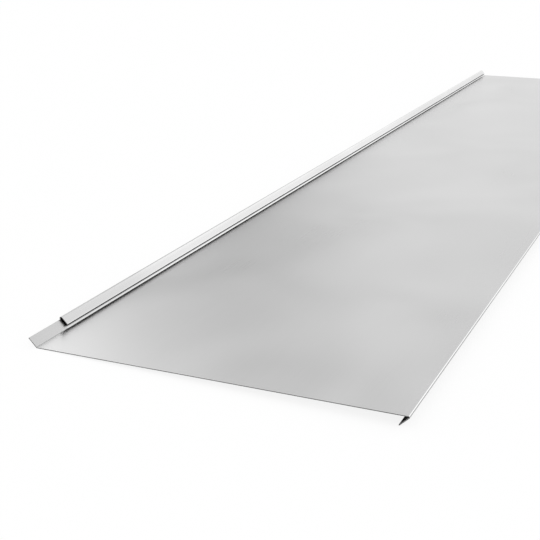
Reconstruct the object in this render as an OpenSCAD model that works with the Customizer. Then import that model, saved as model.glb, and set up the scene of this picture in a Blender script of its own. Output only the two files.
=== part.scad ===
// Folded stainless steel sheet: one long, thin piece of sheet folded on a press brake.
// A wide flat pan carries an open hook along one long edge and a drip lip along the other.
// X runs across the sheet from the hook to the lip, Y along its length, Z up.
// The notched end faces -Y. Sizes are in millimetres and angles in degrees.
// The sheet is drawn as it lies by itself on a level floor: on the outside of the hook's
// lower bend and on the edge of the drip lip, so its pan leans by a degree or two.

/* [Sheet] */
// Thickness of the steel
sheet_t = 1; // [0.6:0.1:1.5]
// Length along the folds
sheet_l = 2000; // [500:100:3000]
// Width of the pan, from the inside corner at the hook to the outside of the drip edge
pan_w = 400; // [200:10:600]

/* [Hook] */
// Angle between the flange and the pan's plane, 0 being a flat continuation of the pan
flange_angle = 46; // [40:6:58]
// Inside radius of the bend between the pan and the flange
flange_bend_r = 2; // [1:0.5:4]
// Straight width of the flange, from its bend to the start of the fold
flange_w = 12.2; // [8:0.1:30]
// Clear height inside the open fold, between the flange and the hem over it
fold_gap = 2; // [1:0.2:4]
// Straight width of the hem, from the fold to its free edge
hem_w = 9.5; // [4:0.1:11]

/* [Notch] */
// Length at the near end over which the fold and the hem are cut away
notch_l = 58; // [20:1:150]

/* [Drip edge] */
// Angle between the lip and the underside of the pan
lip_angle = 43; // [30:1:60]
// Inside radius of the bend between the pan and the lip
lip_bend_r = 0.5; // [0.5:0.1:3]
// Straight width of the lip, from its bend to its free edge
lip_w = 12.7; // [8:0.1:30]

/* [Hidden] */
$fn = 96;
steel_color = [0.78, 0.79, 0.80];

// Outside radii of the three bends
flange_outer_r = flange_bend_r + sheet_t;
lip_outer_r = lip_bend_r + sheet_t;
fold_bend_r = fold_gap / 2;

// Where the flat of the pan starts and ends in the folded section, its underside at 0
pan_start = flange_bend_r * tan(flange_angle / 2);
pan_end = pan_w - lip_outer_r;

// The lip's lowest point in the folded section
tip_x = pan_end + lip_outer_r * sin(lip_angle) - lip_w * cos(lip_angle);
tip_y = sheet_t - lip_outer_r - lip_outer_r * cos(lip_angle) - lip_w * sin(lip_angle);

// The lean that brings the flange's bend and the lip's edge onto one level floor
reach_x = tip_x - pan_start;
reach_y = tip_y - flange_outer_r;
reach = sqrt(reach_x * reach_x + reach_y * reach_y);
lean = -atan2(reach_y, reach_x) - asin(flange_outer_r / reach);
rest_height = -(tip_x * sin(lean) + tip_y * cos(lean));

// The middle between the outsides of the fold and of the drip edge, as the sheet rests
fold_step = fold_bend_r - flange_bend_r;
fold_x = pan_start - flange_w * cos(flange_angle) + fold_step * sin(flange_angle);
fold_y = flange_outer_r + flange_w * sin(flange_angle) + fold_step * cos(flange_angle);
hook_side = fold_x * cos(lean) - fold_y * sin(lean) - fold_bend_r - sheet_t;
drip_side = pan_end * cos(lean) + lip_bend_r * sin(lean) + lip_outer_r;
middle_x = (hook_side + drip_side) / 2;

// How far a cutting shape stands clear of what it cuts
spare = 1;

// A straight run of sheet w wide that starts at the origin and heads along +x, its
// underside on y = 0, and what follows it
module run(w) {
    square([w, sheet_t]);
    translate([w, 0]) children();
}

// The part of a ring that the metal of a bend fills, the ring's centre at the origin
module bend_ring(r, angle) {
    side = 2 * (r + sheet_t + spare);
    intersection() {
        difference() {
            circle(r = r + sheet_t);
            circle(r = r);
        }
        translate([0, -side / 2]) square([side, side]);
        rotate(angle) translate([-side, -side / 2]) square([side, side]);
    }
}

// A bend of inside radius r that turns the sheet up, and what follows it
module bend_up(r, angle) {
    translate([0, sheet_t + r]) {
        bend_ring(r, angle);
        rotate(angle) translate([0, -(sheet_t + r)]) children();
    }
}

// Turns what is drawn over, about the middle of the sheet's thickness
module other_side_up() {
    translate([0, sheet_t]) mirror([0, 1]) children();
}

// A bend of inside radius r that turns the sheet down, and what follows it
module bend_down(r, angle) {
    other_side_up() bend_up(r, angle) other_side_up() children();
}

// Pan, flange and lip: the section that runs the whole length
module body_section() {
    translate([pan_start, 0]) {
        run(pan_end - pan_start) bend_down(lip_bend_r, 180 - lip_angle) run(lip_w);
        mirror([1, 0]) bend_up(flange_bend_r, flange_angle) run(flange_w);
    }
}

// What follows on the end of the flange's bend, heading up the flange
module on_flange() {
    translate([pan_start, 0]) mirror([1, 0]) translate([0, flange_outer_r])
        rotate(flange_angle) translate([0, -flange_outer_r]) children();
}

// A section drawn in x and y, leaned to rest on the floor and drawn out along +Y
module draw_out(from_y, to_y) {
    translate([-middle_x, to_y - sheet_l / 2, rest_height])
        rotate([90, 0, 0])
            linear_extrude(height = to_y - from_y)
                rotate(lean) children();
}

// The one piece of sheet. The fold and the hem stop short at the notch, where the flange
// ends in a straight cut edge.
module folded_sheet() {
    color(steel_color) {
        union() {
            draw_out(0, sheet_l) body_section();
            draw_out(notch_l, sheet_l) on_flange() run(flange_w) bend_up(fold_bend_r, 180) run(hem_w);
        }
    }
}

folded_sheet();
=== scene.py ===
"""Looks of the folded stainless steel sheet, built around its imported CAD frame.

The sheet is one piece of thin metal, so its mesh is made the way the real one is folded: a
centre line is walked across the section, run by run and bend by bend, thickened by half the
gauge to each side, and drawn along +Y. Lengths are in metres, angles in degrees.
"""

import math

import bmesh
import bpy
from mathutils import Matrix, Vector, noise
from mathutils.bvhtree import BVHTree


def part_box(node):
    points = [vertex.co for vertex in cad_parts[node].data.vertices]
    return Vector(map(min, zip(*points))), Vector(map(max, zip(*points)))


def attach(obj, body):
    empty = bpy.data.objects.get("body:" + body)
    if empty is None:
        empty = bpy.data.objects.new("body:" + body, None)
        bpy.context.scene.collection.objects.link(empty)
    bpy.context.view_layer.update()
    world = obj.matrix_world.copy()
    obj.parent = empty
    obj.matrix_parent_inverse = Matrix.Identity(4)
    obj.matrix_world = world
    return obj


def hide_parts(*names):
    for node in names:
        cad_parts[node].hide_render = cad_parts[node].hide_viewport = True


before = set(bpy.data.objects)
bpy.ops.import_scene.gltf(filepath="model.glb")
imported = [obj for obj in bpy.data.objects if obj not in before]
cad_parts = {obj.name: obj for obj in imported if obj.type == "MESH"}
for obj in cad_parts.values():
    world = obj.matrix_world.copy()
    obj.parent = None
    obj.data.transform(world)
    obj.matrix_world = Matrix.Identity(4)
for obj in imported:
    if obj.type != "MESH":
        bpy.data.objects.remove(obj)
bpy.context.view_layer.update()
sheet_low, sheet_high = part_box("folded_sheet")

# The folded section, as in the CAD source
SHEET_T = 0.001
PAN_W = 0.400
FLANGE_ANGLE = 46.0
FLANGE_BEND_R = 0.002
FLANGE_W = 0.0122
FOLD_GAP = 0.0020
HEM_W = 0.0095
LIP_ANGLE = 43.0
LIP_BEND_R = 0.0005
LIP_W = 0.0127

# The notch at the near end
NOTCH_L = 0.058

# How finely the section is drawn
BEND_STEP = 6.0
PAN_STEP = 0.010
LENGTH_STEP = 0.020
EDGE_STEPS = (0.0006, 0.0014, 0.003)

# What the shears and the rolling left: a rounded arris and a pan that is not dead flat
ARRIS_R = 0.00015
ARRIS_SEGMENTS = 2
SHARP = 60.0
WAVE_HEIGHT = 0.0004
WAVE_ACROSS = 0.21
WAVE_ALONG = 0.28
WAVE_MARGIN = 0.06
WAVE_AT_END = 0.35
WAVE_SLICE = 4.2

# Painted light, from 1 for the brightest painted light to -1 for the darkest painted shade. The
# flange in the hook's mouth gets painted light, and the last strip of the hem a painted
# highlight.
FLANGE_PAINTED_LIGHT = 0.85
HEM_EDGE_PAINTED_HIGHLIGHT = 0.40
HEM_HIGHLIGHT_W = 0.001

# Before the notch, where the next length laps over, the flange gets painted shade, and its
# crease more painted shade
LAP_PAINTED_SHADE = -0.30
CREASE_PAINTED_SHADE = -0.90

# A bend that sticks out gets a painted highlight where it faces up and painted shade where it
# faces down: the painted light for each step of facing up, and what is taken off
OUTER_PAINT_STEP = 2.0
OUTER_PAINT_TAKEN_OFF = 1.2

# The strip of painted shade on the flange in front of the hem's free edge, and how quickly it
# fades
SHADE_W = 0.00055
SHADE_FADE = 0.0001

# Rows of vertices up the flange, and how soon after its bend the first one comes
FLANGE_STEP = 0.002
FLANGE_FIRST = 0.0004

# Rows of vertices across the hem and the lip
NARROW_STEP = 0.003

# How near one face has to look at another to count as inside a fold and get painted shade,
# looking straight out or a little aside, and how far off the skin the look starts
FOLD_REACH = 0.015
MOUTH_REACH = 0.0025
LOOK_ASIDE = 0.31
LOOK_START = 0.1 * SHEET_T

# Where the camera stands, measured from the pan's near inside corner beside the flange:
# across the pan, before its near end and above its top face, then turned to the left of
# the sheet's length and tilted down
CAMERA_ACROSS = 0.6434
CAMERA_BEFORE = 0.8717
CAMERA_ABOVE = 0.4420
CAMERA_TURN = 23.575
CAMERA_TILT = 18.701
CAMERA_LENS = 73.65
SENSOR_W = 36.0


# ---------------------------------------------------------------- the section

# The finish of a plain flat: not burnished, and no painted light or shade before or behind the
# notch
FLAT = (0.0, 0.0, 0.0)
BEND_END = (0.5, 0.0, 0.0)


def facing_paint(top):
    """Painted light of a bend that sticks out: a painted highlight where it faces up, painted
    shade where it faces down.
    """
    return max(-1.0, OUTER_PAINT_STEP * top.y - OUTER_PAINT_TAKEN_OFF)


class Walk:
    """Walks along the middle of the sheet's thickness and notes where it has been.

    A station holds the point in the section's plane, the direction of the sheet's top side
    there, and the finish: how far the press has burnished it, and how much painted light it
    has, or painted shade under 0, before the notch and behind it.
    """

    def __init__(self, point, heading, top):
        self.point, self.heading, self.top = Vector(point), Vector(heading), Vector(top)
        self.stations = [(self.point.copy(), self.top.copy(), FLAT)]

    def note(self, finish_and_painted_light):
        self.stations.append((self.point.copy(), self.top.copy(), finish_and_painted_light))

    def run(self, width, marks=(), before=0.0, painted_span=(0.0, 0.0, 0.0)):
        """Goes straight on, with a station at each mark and at the end.

        Before the notch it all gets one amount of painted light, or of painted shade under 0.
        Behind it, it may get painted light from one distance to another."""
        start = self.point.copy()
        for distance in [*sorted(m for m in marks if 0 < m < width), width]:
            self.point = start + self.heading * distance
            low, high, amount = painted_span
            self.note((0.0, before, amount if low <= distance <= high else 0.0))
        return self

    def bend(self, inside_r, angle, to_top, before=0.0, sticks_out=False):
        """Turns round an inside radius, towards the top side or away from it.

        Before the notch it gets one amount of painted light, or of painted shade under 0; if it
        sticks out, it gets painted light and shade by how it faces."""
        side = 1.0 if to_top else -1.0
        arm = self.top * side * (inside_r + SHEET_T / 2)
        centre = self.point + arm
        cross = self.heading.x * arm.y - self.heading.y * arm.x
        sign = 1.0 if cross > 0 else -1.0
        steps = max(2, math.ceil(angle / BEND_STEP))
        turn = Matrix.Rotation(sign * math.radians(angle) / steps, 2)
        for _ in range(steps):
            self.point = centre + turn @ (self.point - centre)
            self.heading = turn @ self.heading
            self.top = turn @ self.top
            # A bend that sticks out gets a painted highlight on top and painted shade on its
            # side
            outer = facing_paint(self.top)
            painted_amounts = (outer, outer) if sticks_out else (before, 0.0)
            self.note((1.0, *painted_amounts))
        self.stations[-1] = (self.point.copy(), self.top.copy(), BEND_END)
        return self


def even_marks(width, step):
    """Distances that cut a width into equal lengths of about one step."""
    count = max(1, round(width / step))
    return [width * k / count for k in range(1, count)]


def from_end(width):
    """Marks that come close together at the end of a run, where the free edge is."""
    return [width - d for d in EDGE_STEPS]


lip_outer_r = LIP_BEND_R + SHEET_T
flange_outer_r = FLANGE_BEND_R + SHEET_T
pan_start = FLANGE_BEND_R * math.tan(math.radians(FLANGE_ANGLE / 2))
pan_end = PAN_W - lip_outer_r
pan_flat = pan_end - pan_start

MIDDLE = SHEET_T / 2


def flange_walk():
    """From the pan up the flange, as far as the start of the fold."""
    walk = Walk((pan_start, MIDDLE), (-1, 0), (0, 1))
    # The crease and, before the notch, the flange get painted shade; behind it the flange gets
    # painted light up to the strip of painted shade
    walk.bend(FLANGE_BEND_R, FLANGE_ANGLE, to_top=True, before=CREASE_PAINTED_SHADE)
    mouth = FLANGE_W - HEM_W
    # Rows that bound the strip of painted shade in front of the hem's free edge
    shade = [mouth - SHADE_W - SHADE_FADE, mouth - SHADE_W, mouth + SHADE_FADE]
    return walk.run(FLANGE_W, [*even_marks(FLANGE_W, FLANGE_STEP), FLANGE_FIRST, *shade],
                    before=LAP_PAINTED_SHADE, painted_span=(0.0, shade[0], FLANGE_PAINTED_LIGHT))


def after_flange():
    """A walk that starts where the flange ends."""
    end = flange_walk()
    return Walk(end.point, end.heading, end.top)


def lip_walk():
    """From the pan round the drip edge to the lip's free edge."""
    walk = Walk((pan_end, MIDDLE), (1, 0), (0, 1))
    walk.bend(LIP_BEND_R, 180.0 - LIP_ANGLE, to_top=False, sticks_out=True)
    return walk.run(LIP_W, [*even_marks(LIP_W, NARROW_STEP)[:-1], *from_end(LIP_W)])


def pan_stations():
    """The flat of the pan between its two bends, ends left out."""
    marks = even_marks(pan_flat, PAN_STEP)
    return [(Vector((pan_start + m, MIDDLE)), Vector((0, 1)), FLAT) for m in marks]


body = [*reversed(flange_walk().stations), *pan_stations(), *lip_walk().stations]
# The hem's last strip gets a painted highlight
hook = after_flange().bend(FOLD_GAP / 2, 180.0, to_top=True).run(
    HEM_W, [*even_marks(HEM_W, NARROW_STEP)[:-1], *from_end(HEM_W)],
    painted_span=(HEM_W - HEM_HIGHLIGHT_W, HEM_W, HEM_EDGE_PAINTED_HIGHLIGHT))


def resting_lean():
    """The angle at which the sheet rests on the flange's bend and the edge of the lip."""
    tip, tip_top, _ = lip_walk().stations[-1]
    low = tip + tip_top * MIDDLE
    reach = low - Vector((pan_start, SHEET_T + FLANGE_BEND_R))
    return -math.atan2(reach.y, reach.x) - math.asin(flange_outer_r / reach.length)


lean = resting_lean()


def leaned(across, along, up):
    """A point of the folded section, turned to the way the sheet rests."""
    x = across * math.cos(lean) - up * math.sin(lean)
    z = across * math.sin(lean) + up * math.cos(lean)
    return Vector((x, along, z))


def section_box():
    """Lowest and highest corner of the leaned section, both sides of the sheet."""
    ends = []
    for point, top, _ in [*body, *hook.stations]:
        for side in (MIDDLE, -MIDDLE):
            place = point + top * side
            ends.append(leaned(place.x, 0.0, place.y))
    low = Vector((min(e.x for e in ends), 0.0, min(e.z for e in ends)))
    high = Vector((max(e.x for e in ends), 0.0, max(e.z for e in ends)))
    return low, high


section_low, section_high = section_box()
to_frame = Vector((
    (sheet_low.x + sheet_high.x - section_low.x - section_high.x) / 2,
    0.0,
    sheet_low.z - section_low.z,
))


def placed(across, along, up):
    """A point of the folded section in the frame, as the sheet rests there."""
    return leaned(across, along, up) + to_frame


# ---------------------------------------------------------------- the mesh

near_end = sheet_low.y
far_end = sheet_high.y
fold_start = near_end + NOTCH_L


def length_stations():
    """Places along the sheet, close together at the ends and at the notch."""
    places = {near_end, fold_start, far_end}
    for d in EDGE_STEPS:
        places.update((near_end + d, fold_start - d, fold_start + d, far_end - d))
    free = 0.75 * LENGTH_STEP
    count = round((far_end - near_end) / LENGTH_STEP)
    for k in range(1, count):
        place = near_end + (far_end - near_end) * k / count
        if all(abs(place - other) > free for other in (near_end, fold_start, far_end)):
            places.add(place)
    return sorted(places)


def smooth(t):
    t = min(1.0, max(0.0, t))
    return t * t * (3 - 2 * t)


def pan_wave(across, along):
    """How far the pan stands out of its plane, fading out towards its folds and ends."""
    edge = min(across - pan_start, pan_end - across)
    end = min(along - near_end, far_end - along)
    fade = smooth(edge / WAVE_MARGIN) * smooth(WAVE_AT_END + end / WAVE_MARGIN)
    spot = Vector((across / WAVE_ACROSS, along / WAVE_ALONG, WAVE_SLICE))
    return WAVE_HEIGHT * fade * noise.noise(spot)


class SheetMesh:
    """Collects cells of the sheet's middle surface and closes them into a solid skin."""

    def __init__(self):
        self.bm = bmesh.new()
        self.bend = self.bm.verts.layers.float.new("bend")
        self.painted_light = self.bm.verts.layers.float.new("painted_light")
        self.inside = self.bm.verts.layers.float.new("inside")
        self.made = {}
        self.uses = {}

    def corner(self, key, station, along):
        """The two vertices, on the top and on the underside, of one grid point."""
        if key not in self.made:
            point, top, (bend, before, behind) = station
            on_pan = abs(point.y - MIDDLE) < 1e-9
            wave = pan_wave(point.x, along) if on_pan else 0.0
            pair = []
            for side in (MIDDLE, -MIDDLE):
                place = point + top * (side + wave)
                vert = self.bm.verts.new(placed(place.x, along, place.y))
                vert[self.bend] = bend
                # Painted light or painted shade, before and behind the notch
                vert[self.painted_light] = behind if along >= fold_start else before
                pair.append(vert)
            self.made[key] = pair
        return self.made[key]

    def cell(self, a, b, c, d):
        """One cell: a face on top and one below. Each side is counted for the rim."""
        for face in ([p[0] for p in (a, b, c, d)], [p[1] for p in (d, c, b, a)]):
            self.bm.faces.new(face)
        for p, q in ((a, b), (b, c), (c, d), (d, a)):
            key = frozenset((p[0], q[0]))
            self.uses.setdefault(key, []).append((p, q))

    def strip(self, name, stations, places, shared=None):
        """Cells over a run of stations and a run of places along the sheet.

        Grid point 0 of the strip is taken from the shared name where one is given."""
        for i in range(len(stations) - 1):
            for j in range(len(places) - 1):
                corners = []
                for di, dj in ((0, 0), (1, 0), (1, 1), (0, 1)):
                    at, along = i + di, places[j + dj]
                    key = (shared, 0, along) if shared and at == 0 else (name, at, along)
                    corners.append(self.corner(key, stations[at], along))
                if shared:
                    corners.reverse()
                self.cell(*corners)

    def close(self):
        """Faces across the thickness wherever a cell has no neighbour: the cut edges."""
        for sides in self.uses.values():
            if len(sides) == 1:
                p, q = sides[0]
                face = self.bm.faces.new((q[0], p[0], p[1], q[1]))
                face.material_index = 1

    def note_folds(self):
        """Marks the faces that look at the sheet itself, in the hook and over the lip, for
        painted shade.
        """
        skin = BVHTree.FromBMesh(self.bm)
        for vert in self.bm.verts:
            start = vert.co + vert.normal * LOOK_START
            across = vert.normal.cross(Vector((0, 1, 0)))
            covered = skin.ray_cast(start, vert.normal, FOLD_REACH)[0] is not None
            for aside in (-LOOK_ASIDE, LOOK_ASIDE):
                look = vert.normal + across * aside
                covered |= skin.ray_cast(start, look, MOUTH_REACH)[0] is not None
            vert[self.inside] = 1.0 if covered else 0.0

    def round_arrises(self):
        """Rounds every edge between a face and a cut, and the cuts' own corners."""
        arrises = [e for e in self.bm.edges
                   if len({f.material_index for f in e.link_faces}) == 2
                   or e.calc_face_angle(0.0) > math.radians(SHARP)]
        bmesh.ops.bevel(self.bm, geom=arrises, offset=ARRIS_R, segments=ARRIS_SEGMENTS,
                        profile=0.5, affect="EDGES", clamp_overlap=True, material=2)


def make_sheet():
    """The folded sheet as one closed mesh."""
    places = length_stations()
    skin = SheetMesh()
    skin.strip("body", body, places)
    skin.strip("hook", hook.stations, [y for y in places if y >= fold_start], shared="body")
    skin.close()
    bmesh.ops.recalc_face_normals(skin.bm, faces=skin.bm.faces)
    skin.note_folds()
    skin.round_arrises()
    mesh = bpy.data.meshes.new("sheet")
    skin.bm.to_mesh(mesh)
    skin.bm.free()
    mesh.shade_smooth()
    sheet = bpy.data.objects.new("stainless_sheet", mesh)
    bpy.context.scene.collection.objects.link(sheet)
    weighted = sheet.modifiers.new("even_shading", "WEIGHTED_NORMAL")
    weighted.weight = 100
    weighted.keep_sharp = True
    return sheet


# ---------------------------------------------------------------- materials

class Nodes:
    """Short ways to add and join shader nodes."""

    def __init__(self, tree):
        self.tree = tree
        tree.nodes.clear()

    def add(self, kind, **values):
        node = self.tree.nodes.new(kind)
        for name, value in values.items():
            if name == "inputs":
                for socket, setting in value.items():
                    self.join(setting, node.inputs[socket])
            else:
                setattr(node, name, value)
        return node

    def join(self, value, socket):
        """Links an output into a socket, or sets the socket where a plain value is given."""
        if isinstance(value, bpy.types.NodeSocket):
            self.tree.links.new(value, socket)
        else:
            socket.default_value = value

    def math(self, operation, a, b=0.0, clamp=False):
        node = self.add("ShaderNodeMath", operation=operation, use_clamp=clamp,
                        inputs={0: a, 1: b})
        return node.outputs[0]

    def stretched_noise(self, size, detail=3.0, roughness=0.55, twist=0.0):
        """Noise whose spots have the given sizes across, along and up."""
        place = self.add("ShaderNodeTexCoord").outputs["Object"]
        scale = tuple(1.0 / s for s in size)
        mapped = self.add("ShaderNodeMapping", inputs={"Vector": place, "Scale": scale})
        spots = self.add("ShaderNodeTexNoise", noise_dimensions="3D", inputs={
            "Vector": mapped.outputs[0], "Scale": 1.0, "Detail": detail,
            "Roughness": roughness, "Distortion": twist})
        return spots.outputs[0]

    def spread(self, value, low, high, from_low=0.3, from_high=0.7):
        """Maps the middle of a noise's range onto low to high."""
        node = self.add("ShaderNodeMapRange", clamp=True, inputs={
            "Value": value, "From Min": from_low, "From Max": from_high,
            "To Min": low, "To Max": high})
        return node.outputs["Result"]


def new_material(name):
    material = bpy.data.materials.new(name)
    material.use_nodes = True
    return material, Nodes(material.node_tree)


def grey(n, tone):
    """A neutral colour of one tone."""
    colour = n.add("ShaderNodeCombineColor", inputs={"Red": tone, "Green": tone, "Blue": tone})
    return colour.outputs[0]


def grey_metal(n, tone, rough, bump, at_grazing=None):
    """Metal of one neutral tone, with its roughness, its bump and its sheen at a low angle."""
    shader = n.add("ShaderNodeBsdfPrincipled", inputs={
        "Base Color": grey(n, tone), "Metallic": 1.0, "Roughness": rough,
        "Normal": bump.outputs[0]})
    if at_grazing is not None:
        n.join(grey(n, at_grazing), shader.inputs["Specular Tint"])
    n.add("ShaderNodeOutputMaterial", inputs={"Surface": shader.outputs[0]})


# The face: tone and roughness from cloud to cloud, and what the grain adds or takes away
CLOUD_SIZE = (0.20, 0.26, 0.20)
GRAIN_SIZE = (0.0011, 0.090, 0.0011)
FACE_TONE = (0.53, 0.60)
FACE_ROUGH = (0.28, 0.31)
GRAIN_TONE = 0.006
GRAIN_ROUGH = 0.01

# How much painted shade takes off the tone and the low-angle sheen inside a fold, how much tone
# one step of painted light adds, and how much smoother the bends are
INSIDE_PAINTED_SHADE = 0.42
INSIDE_SHEEN_PAINTED_SHADE = 0.75
PAINTED_LIGHT_TONE = 0.18
BURNISH = 0.16


def steel_face():
    """Cold-rolled stainless: a satin face, clouded, with a faint grain along the length.

    The press tool has burnished it along the bends. It is painted darker inside the folds as
    shade, and painted lighter or darker in places as painted light and painted shade."""
    material, n = new_material("mill_finish_stainless_painted_shade_and_light")
    clouds = n.stretched_noise(CLOUD_SIZE, detail=1.0, twist=0.8)
    grain = n.stretched_noise(GRAIN_SIZE, detail=2.0)
    bends = n.add("ShaderNodeAttribute", attribute_name="bend").outputs["Fac"]
    inside = n.add("ShaderNodeAttribute", attribute_name="inside").outputs["Fac"]
    wear_and_painted_light = n.add("ShaderNodeAttribute", attribute_name="painted_light").outputs["Fac"]
    tone = n.math("ADD", n.spread(clouds, *FACE_TONE), n.spread(grain, -GRAIN_TONE, GRAIN_TONE))
    # Painted shade darkens the tone inside the folds
    tone = n.math("SUBTRACT", tone, n.math("MULTIPLY", inside, INSIDE_PAINTED_SHADE))
    # Painted light and painted shade from the painted light attribute
    tone = n.math("ADD", tone, n.math("MULTIPLY", wear_and_painted_light, PAINTED_LIGHT_TONE))
    rough = n.math("ADD", n.spread(clouds, *FACE_ROUGH),
                   n.spread(grain, -GRAIN_ROUGH, GRAIN_ROUGH))
    rough = n.math("SUBTRACT", rough, n.math("MULTIPLY", bends, BURNISH))
    bump = n.add("ShaderNodeBump", inputs={
        "Strength": 0.05, "Distance": 0.00002, "Height": grain})
    # Painted shade also dims the low-angle sheen inside the folds
    sheen = n.math("SUBTRACT", 1.0, n.math("MULTIPLY", inside, INSIDE_SHEEN_PAINTED_SHADE))
    grey_metal(n, tone, rough, bump, at_grazing=sheen)
    return material


ARRIS_TONE = (0.56, 0.62)
ARRIS_ROUGH = (0.16, 0.24)
HANDLING_SIZE = (0.004, 0.004, 0.004)


def steel_arris():
    """The rounded arrises, worn bright by handling."""
    material, n = new_material("rubbed_arris")
    wear_and_painted_light = n.stretched_noise(HANDLING_SIZE)
    bump = n.add("ShaderNodeBump", inputs={
        "Strength": 0.1, "Distance": 0.00005, "Height": wear_and_painted_light})
    grey_metal(n, n.spread(wear_and_painted_light, *ARRIS_TONE), n.spread(wear_and_painted_light, *ARRIS_ROUGH), bump)
    return material


CUT_TONE = (0.09, 0.19)
CUT_ROUGH = (0.55, 0.45)
SCORE_SIZE = (0.0007, 0.0007, 0.004)


def steel_cut():
    """The sheared edge: duller and darker than the face, scored across the thickness."""
    material, n = new_material("sheared_edge")
    scores = n.stretched_noise(SCORE_SIZE)
    bump = n.add("ShaderNodeBump", inputs={
        "Strength": 0.3, "Distance": 0.0002, "Height": scores})
    grey_metal(n, n.spread(scores, *CUT_TONE), n.spread(scores, *CUT_ROUGH), bump)
    return material


# ---------------------------------------------------------------- floor, light and camera

FLOOR_HALF = 12.0
FLOOR_COLOUR = 0.95

# How much of the floor is shown as plain white: to the camera, and in metal and glass.
# The rest is the matt floor with the sheet's shadow.
WHITE_TO_CAMERA = 0.86
WHITE_TO_MIRRORS = 0.05

# Soft lights and dark cards beyond the sheet's far end, added to the white studio's own
# level of 1: azimuth from +Y towards +X, elevation, radius, soft rim and level. They are a
# light high on the left, a card to the left, a faint light low in the middle, and a light
# on the right with a card below it.
SOFTBOXES = (
    (-50.0, 30.0, 15.0, 8.0, 0.8),
    (-28.0, 18.0, 6.0, 4.0, -0.5),
    (-15.0, 5.0, 15.0, 8.0, 0.1),
    (15.0, 20.0, 12.0, 6.0, 0.7),
    (15.0, 5.0, 12.0, 6.0, -0.4),
)


def make_floor():
    """A plain white floor that keeps the sheet's shadow."""
    mesh = bpy.data.meshes.new("floor")
    h = FLOOR_HALF
    mesh.from_pydata([(-h, -h, 0), (h, -h, 0), (h, h, 0), (-h, h, 0)], [], [(0, 1, 2, 3)])
    floor = bpy.data.objects.new("floor", mesh)
    bpy.context.scene.collection.objects.link(floor)
    material, n = new_material("white_floor")
    shade = (FLOOR_COLOUR, FLOOR_COLOUR, FLOOR_COLOUR, 1.0)
    matt = n.add("ShaderNodeBsdfDiffuse", inputs={"Color": shade}).outputs[0]
    white = n.add("ShaderNodeEmission", inputs={"Color": (1, 1, 1, 1), "Strength": 1.0})
    path = n.add("ShaderNodeLightPath")
    mirrors = n.math("MAXIMUM", path.outputs["Is Glossy Ray"],
                     path.outputs["Is Transmission Ray"])
    share = n.math("ADD", n.math("MULTIPLY", path.outputs["Is Camera Ray"], WHITE_TO_CAMERA),
                   n.math("MULTIPLY", mirrors, WHITE_TO_MIRRORS))
    both = n.add("ShaderNodeMixShader", inputs={0: share, 1: matt, 2: white.outputs[0]})
    n.add("ShaderNodeOutputMaterial", inputs={"Surface": both.outputs[0]})
    mesh.materials.append(material)
    return floor


def towards(azimuth, elevation):
    """A direction: azimuth from +Y towards +X, elevation above the horizon, in degrees."""
    a, e = math.radians(azimuth), math.radians(elevation)
    return (math.sin(a) * math.cos(e), math.cos(a) * math.cos(e), math.sin(e))


def softbox(n, ray, azimuth, elevation, radius, soft, level):
    """A round patch of light, or of dark under level 0, which fades out at its rim."""
    facing = n.add("ShaderNodeVectorMath", operation="DOT_PRODUCT", inputs={
        0: ray, 1: towards(azimuth, elevation)}).outputs["Value"]
    rim = [math.cos(math.radians(radius + s)) for s in (soft, -soft)]
    return n.add("ShaderNodeMapRange", interpolation_type="SMOOTHSTEP", inputs={
        "Value": facing, "From Min": rim[0], "From Max": rim[1],
        "To Min": 0.0, "To Max": level}).outputs["Result"]


def make_world():
    """A plain white studio. The soft lights and dark cards are hidden from the camera."""
    world = bpy.data.worlds.new("studio")
    world.use_nodes = True
    n = Nodes(world.node_tree)
    ray = n.add("ShaderNodeTexCoord").outputs["Generated"]
    level = 1.0
    for box in SOFTBOXES:
        level = n.math("ADD", softbox(n, ray, *box), level)
    light = n.add("ShaderNodeBackground", inputs={"Color": (1, 1, 1, 1), "Strength": level})
    white = n.add("ShaderNodeBackground", inputs={"Color": (1, 1, 1, 1), "Strength": 1.0})
    path = n.add("ShaderNodeLightPath")
    both = n.add("ShaderNodeMixShader", inputs={
        0: path.outputs["Is Camera Ray"], 1: light.outputs[0], 2: white.outputs[0]})
    n.add("ShaderNodeOutputWorld", inputs={"Surface": both.outputs[0]})
    bpy.context.scene.world = world


def make_camera():
    """Stands before the notched end and looks down along the sheet."""
    turn, tilt = math.radians(CAMERA_TURN), math.radians(CAMERA_TILT)
    place = placed(CAMERA_ACROSS, near_end - CAMERA_BEFORE, SHEET_T + CAMERA_ABOVE)
    forward = leaned(-math.sin(turn) * math.cos(tilt), math.cos(turn) * math.cos(tilt),
                     -math.sin(tilt))
    up = leaned(-math.sin(turn) * math.sin(tilt), math.cos(turn) * math.sin(tilt),
                math.cos(tilt))
    right = forward.cross(up)
    data = bpy.data.cameras.new("camera")
    data.lens = CAMERA_LENS
    data.sensor_width = SENSOR_W
    data.clip_start, data.clip_end = 0.01, 100.0
    camera = bpy.data.objects.new("camera", data)
    rotation = Matrix((right, up, -forward)).transposed()
    camera.matrix_world = Matrix.Translation(place) @ rotation.to_4x4()
    bpy.context.scene.collection.objects.link(camera)
    bpy.context.scene.camera = camera


make_camera()
sheet = make_sheet()
sheet.data.materials.append(steel_face())
sheet.data.materials.append(steel_cut())
sheet.data.materials.append(steel_arris())
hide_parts("folded_sheet")
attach(sheet, "root")
make_floor()
make_world()

bpy.context.scene.view_settings.view_transform = "Standard"
